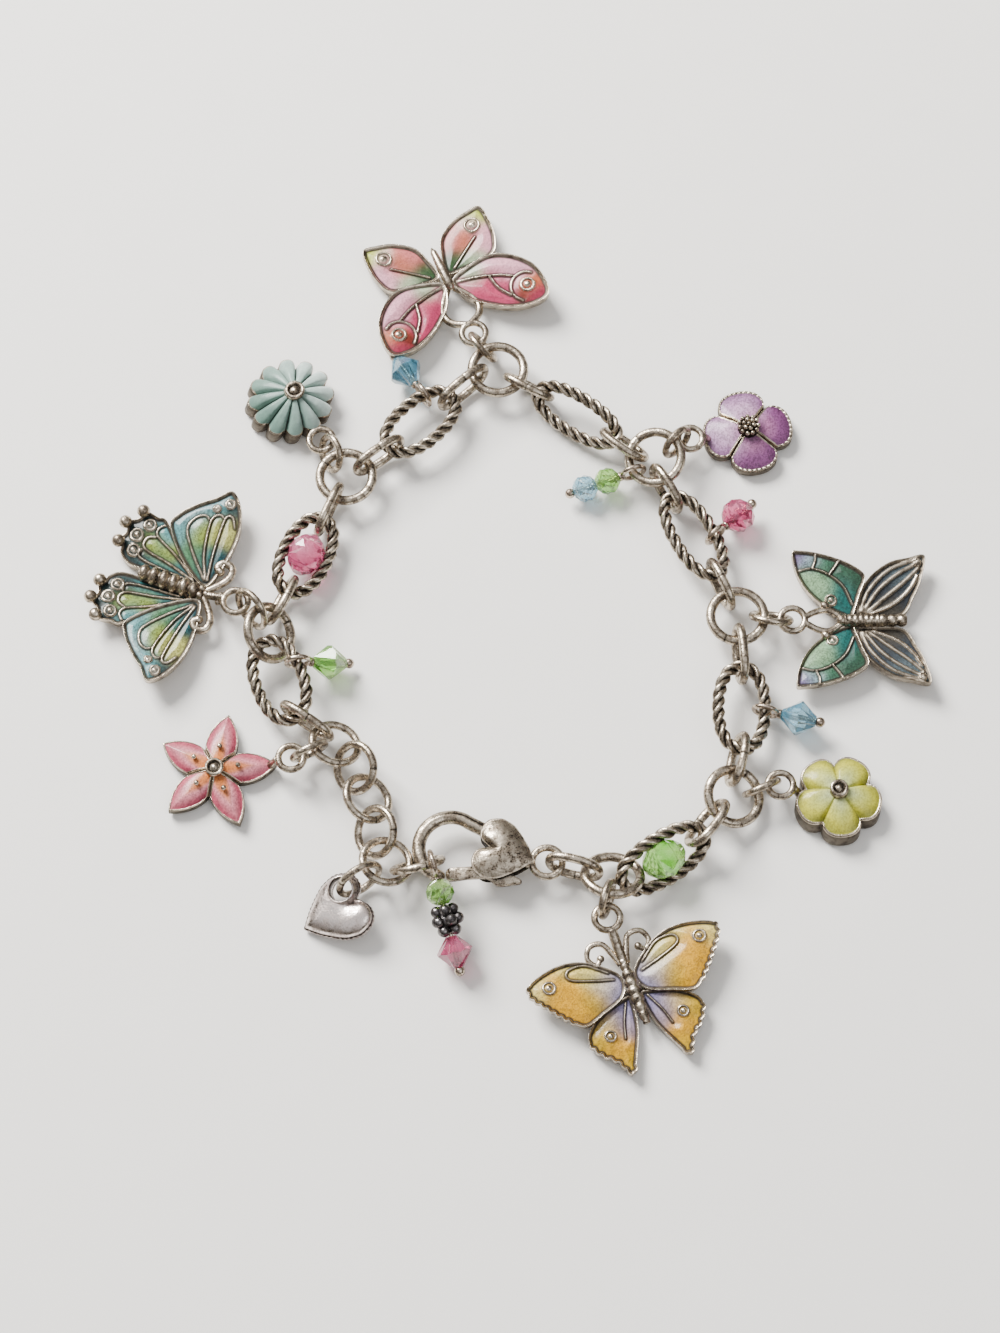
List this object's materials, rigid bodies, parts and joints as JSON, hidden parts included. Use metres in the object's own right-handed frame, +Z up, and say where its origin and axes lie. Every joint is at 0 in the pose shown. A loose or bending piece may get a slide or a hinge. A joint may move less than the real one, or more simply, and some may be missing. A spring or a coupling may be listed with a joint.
{
  "type": "charm bracelet",
  "caption": "Fastened charm bracelet of rings, twisted ovals and bar links with a heart lobster clasp, enamelled butterflies and flowers, a heart tag and crystal drops.",
  "frame": {"origin": "on the surface that the bracelet lies on, under the middle of its outer box", "axes": "+Z up from that surface, +Y towards the top of the picture, +X to its right"},
  "size_m": [0.1054, 0.1174, 0.0077],
  "materials": {
    "oxidised_silver": "oxidised silver, dark in the hollows and polished on the high places",
    "pink_enamel": "translucent pink enamel in a cast silver charm",
    "mint_enamel": "pale mint enamel with a worn satin surface",
    "teal_enamel": "teal to yellow-green enamel between raised silver ribs",
    "star_enamel": "pink and orange enamel with fine glitter",
    "amber_enamel": "amber, cream and lilac enamel in a scalloped silver edge",
    "lime_enamel": "yellow-green enamel over cast petals",
    "purple_enamel": "pale and deep purple enamel with a beaded silver edge",
    "blue_crystal": "faceted pale blue crystal on a silver headpin",
    "green_crystal": "faceted peridot green crystal on a silver headpin",
    "pink_crystal": "faceted rose crystal on a silver headpin",
    "dark_cluster": "gunmetal bead of small facets between crystals on a silver headpin"
  },
  "bodies": {
    "bracelet": {"bar_link_1": "oxidised_silver", "bar_link_10": "oxidised_silver", "bar_link_11": "oxidised_silver", "bar_link_12": "oxidised_silver", "bar_link_13": "oxidised_silver", "bar_link_2": "oxidised_silver", "bar_link_3": "oxidised_silver", "bar_link_4": "oxidised_silver", "bar_link_5": "oxidised_silver", "bar_link_6": "oxidised_silver", "bar_link_7": "oxidised_silver", "bar_link_8": "oxidised_silver", "bar_link_9": "oxidised_silver", "blue_green_butterfly": "teal_enamel", "clasp_body": "oxidised_silver", "drop_blue_right": "blue_crystal", "drop_blue_top": "blue_crystal", "drop_green": "green_crystal", "drop_long": "dark_cluster", "drop_pair": "green_crystal", "drop_pink": "pink_crystal", "extender_ring_1": "oxidised_silver", "extender_ring_2": "oxidised_silver", "extender_ring_3": "oxidised_silver", "extender_ring_4": "oxidised_silver", "extender_ring_5": "oxidised_silver", "green_flower": "lime_enamel", "heart_tag": "oxidised_silver", "hook_ring": "oxidised_silver", "jump_ring_blue_green_butterfly": "oxidised_silver", "jump_ring_green_flower": "oxidised_silver", "jump_ring_heart_tag": "oxidised_silver", "jump_ring_mint_daisy": "oxidised_silver", "jump_ring_pink_butterfly": "oxidised_silver", "jump_ring_pink_star_flower": "oxidised_silver", "jump_ring_purple_flower": "oxidised_silver", "jump_ring_teal_butterfly": "oxidised_silver", "jump_ring_yellow_butterfly": "oxidised_silver", "mint_daisy": "mint_enamel", "pink_butterfly": "pink_enamel", "pink_star_flower": "star_enamel", "purple_flower": "purple_enamel", "ring_1": "oxidised_silver", "ring_2": "oxidised_silver", "ring_3": "oxidised_silver", "ring_4": "oxidised_silver", "ring_5": "oxidised_silver", "ring_6": "oxidised_silver", "ring_7": "oxidised_silver", "rope_link_1": "oxidised_silver", "rope_link_2": "oxidised_silver", "rope_link_3": "oxidised_silver", "rope_link_4": "oxidised_silver", "rope_link_5": "oxidised_silver", "rope_link_6": "oxidised_silver", "rope_link_7": "oxidised_silver", "teal_butterfly": "teal_enamel", "yellow_butterfly": "amber_enamel"},
    "clasp_lever": {"clasp_lever": "oxidised_silver"}
  },
  "joints": [
    {"name": "clasp_lever_hinge", "type": "hinge", "parent": "bracelet", "child": "clasp_lever", "pos_m": [-0.00097, -0.03353, 0.00282], "axis": [0, 0, -1], "range_deg": [0, 18], "stiffness_Nm_per_rad": 0.002, "springref_deg": -17.19}
  ]
}
